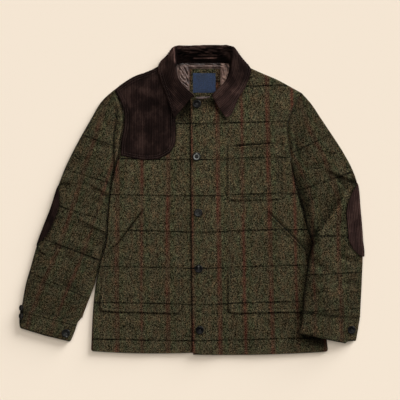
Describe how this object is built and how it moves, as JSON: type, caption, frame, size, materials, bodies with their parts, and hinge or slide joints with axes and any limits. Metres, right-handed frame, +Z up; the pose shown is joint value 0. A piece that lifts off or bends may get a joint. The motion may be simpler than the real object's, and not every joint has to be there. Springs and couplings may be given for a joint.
{
  "type": "barn coat",
  "caption": "Buttoned tweed barn coat laid flat on its back, with a turned-down corduroy collar, shoulder pad, elbow patches and patch pockets.",
  "frame": {"origin": "on the surface that the coat lies on, below the middle of its box", "axes": "+X towards the wearer's left, +Y towards the collar, +Z up from the surface"},
  "size_m": [0.8621, 0.7744, 0.0257],
  "materials": {
    "tweed": "brown-green wool tweed with a windowpane check, matte and slightly hairy",
    "corduroy": "dark brown cotton corduroy, ribbed pile",
    "satin": "mauve-brown quilted lining with a soft sheen",
    "label_cloth": "navy woven cloth, bare",
    "horn": "dark horn-like plastic, low gloss"
  },
  "bodies": {
    "root": {"back": "tweed", "front_right": "tweed", "front_left": "tweed", "sleeve_right_upper": "tweed", "sleeve_right_under": "tweed", "sleeve_left_upper": "tweed", "sleeve_left_under": "tweed", "cuff_right": "tweed", "cuff_left": "tweed", "hip_pocket_right": "tweed", "hip_pocket_left": "tweed", "chest_pocket": "tweed", "label_patch": "tweed", "collar": "corduroy", "shoulder_pad": "corduroy", "elbow_patch_right": "corduroy", "elbow_patch_left": "corduroy", "neck_lining": "satin", "neck_label": "label_cloth", "button_1": "horn", "button_2": "horn", "button_3": "horn", "button_4": "horn", "button_5": "horn", "cuff_button_right": "horn", "cuff_button_right_edge": "horn", "cuff_button_right_edge_lower": "horn", "cuff_button_left": "horn"}
  },
  "joints": []
}
